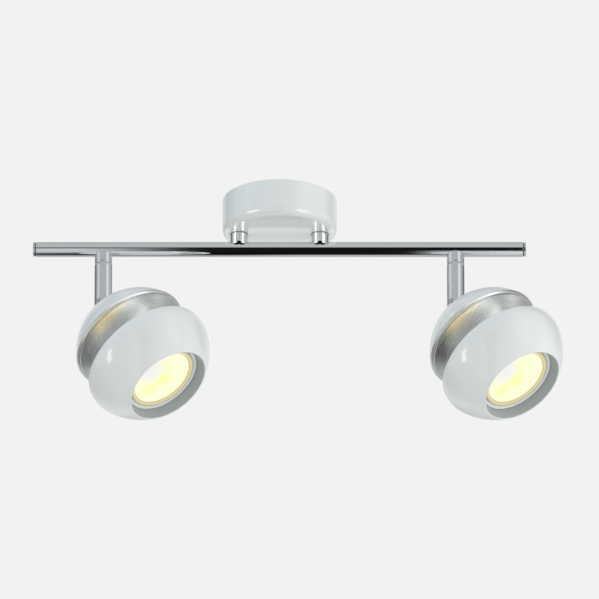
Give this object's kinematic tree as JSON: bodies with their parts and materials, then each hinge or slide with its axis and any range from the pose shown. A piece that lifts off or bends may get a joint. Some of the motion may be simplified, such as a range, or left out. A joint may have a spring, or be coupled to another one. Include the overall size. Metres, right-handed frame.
{
  "type": "pivoting two-spot bar light",
  "caption": "Bar light for a ceiling or wall: round white canopy, chrome tube on short studs, and ball-shaped spot heads with an aluminium waist that swivel and tilt on posts.",
  "frame": {"origin": "centre of the canopy's mounting face", "axes": "+Z into the surface it is fastened to, +X along the bar to the right seen from the front, -Y to the front"},
  "size_m": [0.3698, 0.1026, 0.1682],
  "materials": {
    "white_paint": "satin white powder coat",
    "chrome": "polished chrome plate",
    "satin_chrome": "satin chrome plate",
    "turned_aluminium": "turned and brushed round its axis",
    "grey_sleeve": "satin grey",
    "bright_ring": "satin",
    "zinc_steel": "zinc plated",
    "brass_parts": "bare turned brass",
    "grommet_rubber": "matt",
    "terminal_plastic": "moulded polyamide",
    "lead_insulation": "silicone insulation",
    "washer_nylon": "moulded nylon",
    "lamp_ceramic": "unglazed steatite",
    "lamp_plastic": "moulded white",
    "lamp_glass": "frosted, lit warm white"
  },
  "bodies": {
    "fixture": {"canopy": "white_paint", "mounting_plate": "zinc_steel", "canopy_side_screws": "zinc_steel", "cable_grommet": "grommet_rubber", "terminal_block": "terminal_plastic", "terminal_screws": "brass_parts", "earth_screw": "brass_parts", "stud_washers": "zinc_steel", "stud_nuts": "zinc_steel", "bar_tube": "chrome", "supply_leads": "lead_insulation", "friction_washers": "washer_nylon", "swivel_bolts": "zinc_steel", "spring_washers": "zinc_steel", "stop_pins": "zinc_steel", "left_stud": "chrome", "right_stud": "chrome", "left_end_cap": "chrome", "right_end_cap": "chrome", "left_collar": "satin_chrome", "right_collar": "satin_chrome"},
    "left_arm": {"left_top_bush": "brass_parts", "left_post_tube": "satin_chrome", "left_hinge_knuckle": "satin_chrome", "left_hinge_screw": "zinc_steel"},
    "left_head": {"left_hinge_lug": "zinc_steel", "left_lug_rivets": "zinc_steel", "left_rear_dome": "white_paint", "left_waist": "turned_aluminium", "left_holder_bracket": "zinc_steel", "left_bracket_screws": "zinc_steel", "left_lamp_holder": "lamp_ceramic", "left_holder_screws": "zinc_steel", "left_holder_leads": "lead_insulation", "left_front_shell": "white_paint", "left_inner_sleeve": "grey_sleeve", "left_lamp_ring": "bright_ring"},
    "left_lamp": {"left_lamp_body": "lamp_plastic", "left_lamp_glass": "lamp_glass", "left_lamp_pins": "brass_parts"},
    "right_arm": {"right_top_bush": "brass_parts", "right_post_tube": "satin_chrome", "right_hinge_knuckle": "satin_chrome", "right_hinge_screw": "zinc_steel"},
    "right_head": {"right_hinge_lug": "zinc_steel", "right_lug_rivets": "zinc_steel", "right_rear_dome": "white_paint", "right_waist": "turned_aluminium", "right_holder_bracket": "zinc_steel", "right_bracket_screws": "zinc_steel", "right_lamp_holder": "lamp_ceramic", "right_holder_screws": "zinc_steel", "right_holder_leads": "lead_insulation", "right_front_shell": "white_paint", "right_inner_sleeve": "grey_sleeve", "right_lamp_ring": "bright_ring"},
    "right_lamp": {"right_lamp_body": "lamp_plastic", "right_lamp_glass": "lamp_glass", "right_lamp_pins": "brass_parts"}
  },
  "joints": [
    {"name": "left_swivel", "type": "hinge", "parent": "fixture", "child": "left_arm", "pos_m": [-0.123, 0, -0.0782], "axis": [0, 0, 1], "range_deg": [-160, 160]},
    {"name": "left_tilt", "type": "hinge", "parent": "left_arm", "child": "left_head", "pos_m": [-0.123, 0, -0.0782], "axis": [-0.4863, -0.8738, 0], "range_deg": [-35.9, 42]},
    {"name": "left_lamp_twist", "type": "hinge", "parent": "left_head", "child": "left_lamp", "pos_m": [-0.123, 0, -0.0782], "axis": [0.5124, -0.2852, -0.81], "range_deg": [0, 40]},
    {"name": "right_swivel", "type": "hinge", "parent": "fixture", "child": "right_arm", "pos_m": [0.123, 0, -0.0782], "axis": [0, 0, 1], "range_deg": [-160, 160]},
    {"name": "right_tilt", "type": "hinge", "parent": "right_arm", "child": "right_head", "pos_m": [0.123, 0, -0.0782], "axis": [-0.4863, -0.8738, 0], "range_deg": [-35.9, 42]},
    {"name": "right_lamp_twist", "type": "hinge", "parent": "right_head", "child": "right_lamp", "pos_m": [0.123, 0, -0.0782], "axis": [0.5124, -0.2852, -0.81], "range_deg": [0, 40]}
  ]
}
